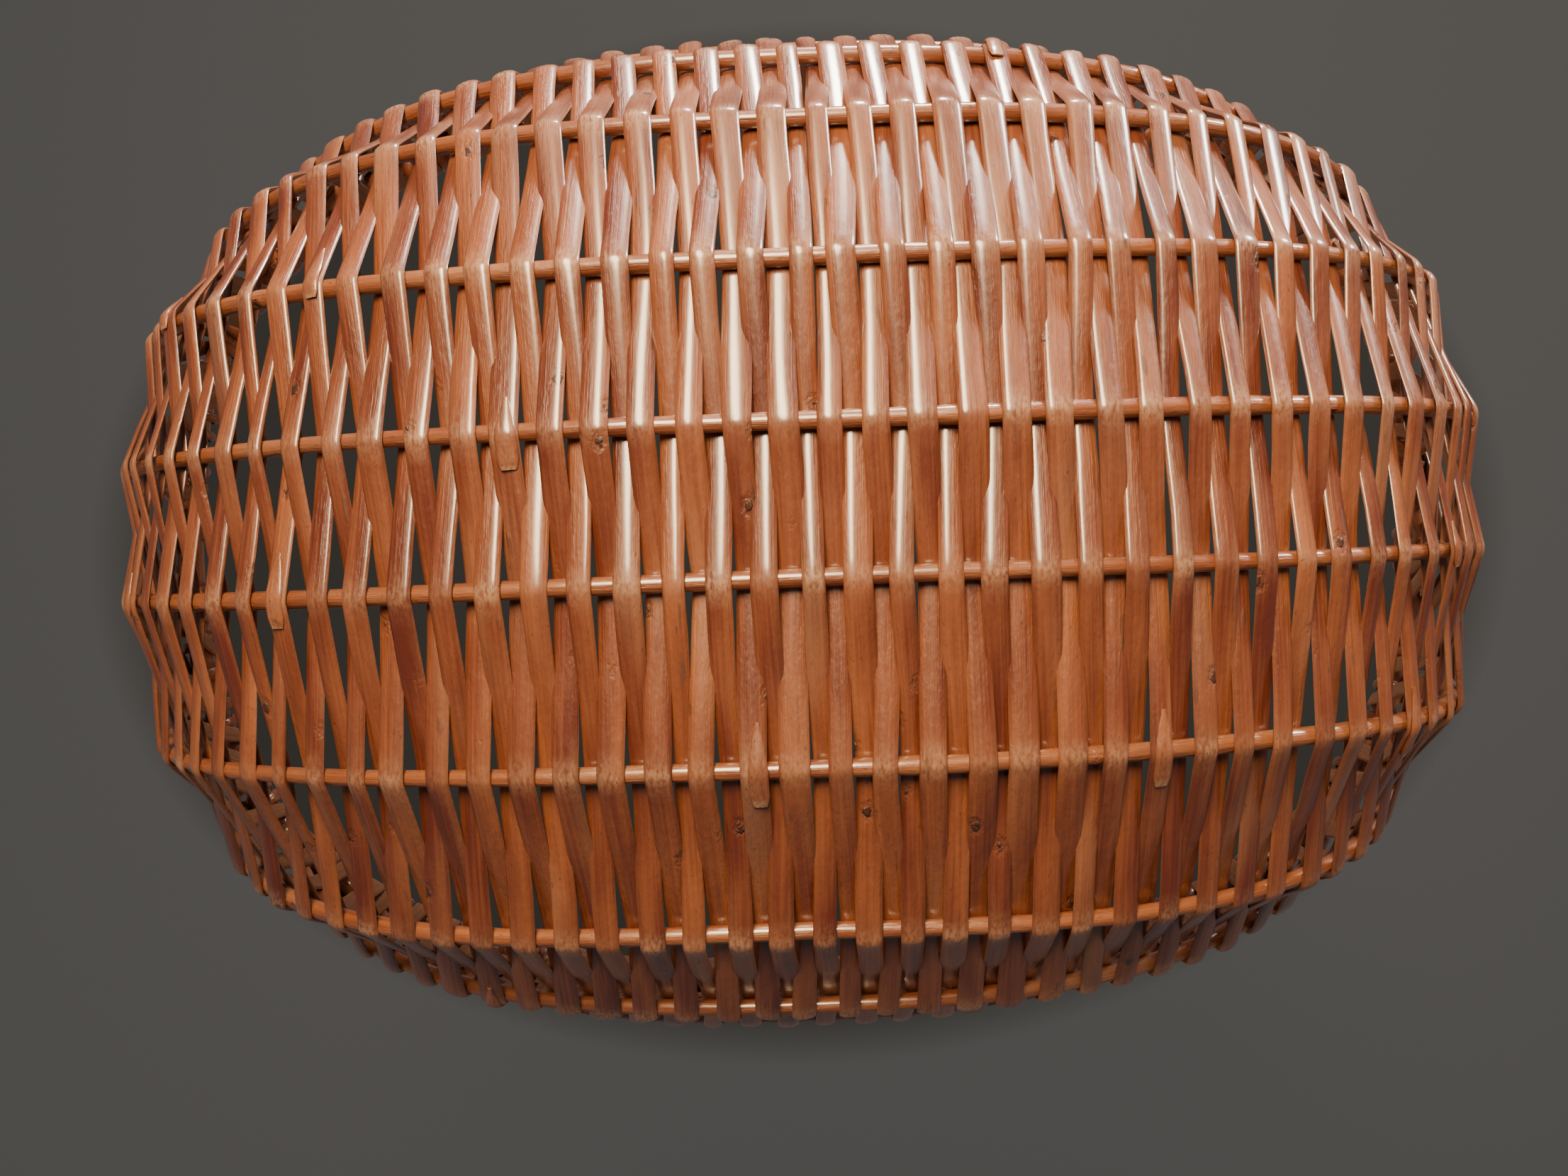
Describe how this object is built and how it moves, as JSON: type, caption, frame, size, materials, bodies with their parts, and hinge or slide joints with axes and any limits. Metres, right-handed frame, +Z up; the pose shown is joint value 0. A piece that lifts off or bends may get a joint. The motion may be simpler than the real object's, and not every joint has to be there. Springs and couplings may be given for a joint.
{
  "type": "woven laundry basket",
  "caption": "Oval willow laundry basket: a rod rim and lengthwise ribs with split skeins woven across them, open at the top.",
  "frame": {"origin": "centre of the basket's footprint, on the surface it stands on", "axes": "+Z up, out of the opening; X along the basket's length, parallel to the ribs; Y across it, along the courses of weaving"},
  "size_m": [0.7234, 0.5306, 0.2492],
  "materials": {
    "rim_rod": "satin, round peeled willow rod",
    "rib_rod": "satin, round peeled willow rod",
    "skein": "satin, split buff willow with a shiny rounded face"
  },
  "bodies": {
    "root": {"rim_hoop": "rim_rod", "rib_01": "rib_rod", "rib_02": "rib_rod", "rib_03": "rib_rod", "rib_04": "rib_rod", "rib_05": "rib_rod", "rib_06": "rib_rod", "rib_07": "rib_rod", "rib_08": "rib_rod", "rib_09": "rib_rod", "rib_10": "rib_rod", "rib_11": "rib_rod", "rib_12": "rib_rod", "skein_01": "skein", "skein_02": "skein", "skein_03": "skein", "skein_04": "skein", "skein_05": "skein", "skein_06": "skein", "skein_07": "skein", "skein_08": "skein", "skein_09": "skein", "skein_10": "skein", "skein_11": "skein", "skein_12": "skein", "skein_13": "skein", "skein_14": "skein", "skein_15": "skein", "skein_16": "skein", "skein_17": "skein", "skein_18": "skein", "skein_19": "skein", "skein_20": "skein", "skein_21": "skein", "skein_22": "skein", "skein_23": "skein", "skein_24": "skein", "skein_25": "skein", "skein_26": "skein", "skein_27": "skein", "skein_28": "skein", "skein_29": "skein", "skein_30": "skein", "skein_31": "skein", "skein_32": "skein", "skein_33": "skein", "skein_34": "skein", "skein_35": "skein", "skein_36": "skein", "skein_37": "skein", "skein_38": "skein", "skein_39": "skein", "skein_40": "skein", "skein_41": "skein", "skein_42": "skein", "skein_43": "skein", "skein_44": "skein", "skein_45": "skein", "skein_46": "skein"}
  },
  "joints": []
}
